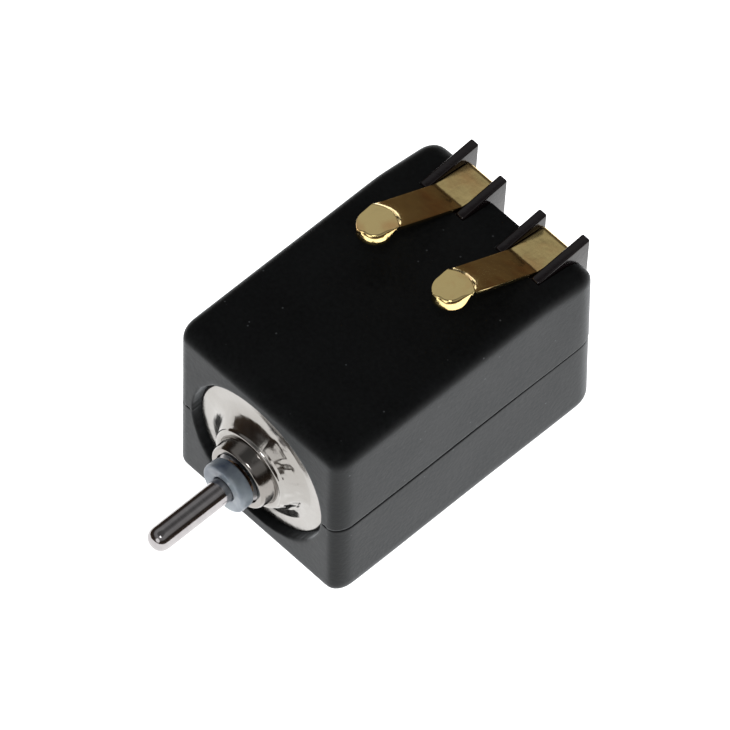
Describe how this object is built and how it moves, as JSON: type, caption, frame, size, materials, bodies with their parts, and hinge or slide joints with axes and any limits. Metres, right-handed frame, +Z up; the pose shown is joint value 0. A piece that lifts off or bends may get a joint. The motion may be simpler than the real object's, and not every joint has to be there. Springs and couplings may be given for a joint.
{
  "type": "cylindrical vibration motor",
  "caption": "Small cylindrical motor in a rubber boot, with a bare output shaft and sprung contact strips on top.",
  "frame": {"origin": "centre of the boot's flat underside", "axes": "+Z up out of the face with the contacts, +Y along the motor towards the contacts, the shaft points along -Y"},
  "size_m": [0.0052, 0.0113, 0.0063],
  "materials": {
    "rubber": "fine moulded grain, matte",
    "black_plastic": "moulded, satin",
    "gold": "gold plating on rolled strip",
    "nickel": "nickel plating on drawn steel",
    "steel": "ground",
    "blue_nylon": "pale, slightly translucent",
    "bronze": "sintered, oiled",
    "magnet": "sintered, plated",
    "copper": "enamelled wire and copper alloy strip",
    "white_resin": "moulded resin"
  },
  "bodies": {
    "housing": {"rubber_boot": "rubber", "terminal_carrier": "black_plastic", "contact_base_left": "gold", "contact_base_right": "gold", "motor_can": "nickel", "bearing_tube": "steel", "front_bearing": "bronze", "rear_bearing": "bronze", "magnet": "magnet", "end_cap": "black_plastic", "brush_left": "copper", "brush_right": "copper", "terminal_left": "gold", "terminal_right": "gold"},
    "rotor": {"shaft": "steel", "shaft_spacer": "blue_nylon", "thrust_washer": "blue_nylon", "coil": "copper", "coil_hub": "white_resin", "commutator_segment_1": "gold", "commutator_segment_2": "gold", "commutator_segment_3": "gold"},
    "contact_left": {"contact_leaf_left": "gold"},
    "contact_right": {"contact_leaf_right": "gold"}
  },
  "joints": [
    {"name": "rotor_spin", "type": "hinge", "parent": "housing", "child": "rotor", "pos_m": [0, 0, 0.00265], "axis": [0, 1, 0], "continuous": true},
    {"name": "contact_left_press", "type": "hinge", "parent": "housing", "child": "contact_left", "pos_m": [-0.00103, 0.00283, 0.00513], "axis": [1, 0, 0], "range_deg": [0, 10], "stiffness_Nm_per_rad": 0.006},
    {"name": "contact_right_press", "type": "hinge", "parent": "housing", "child": "contact_right", "pos_m": [0.00135, 0.00283, 0.00513], "axis": [1, 0, 0], "range_deg": [0, 10], "stiffness_Nm_per_rad": 0.006}
  ]
}
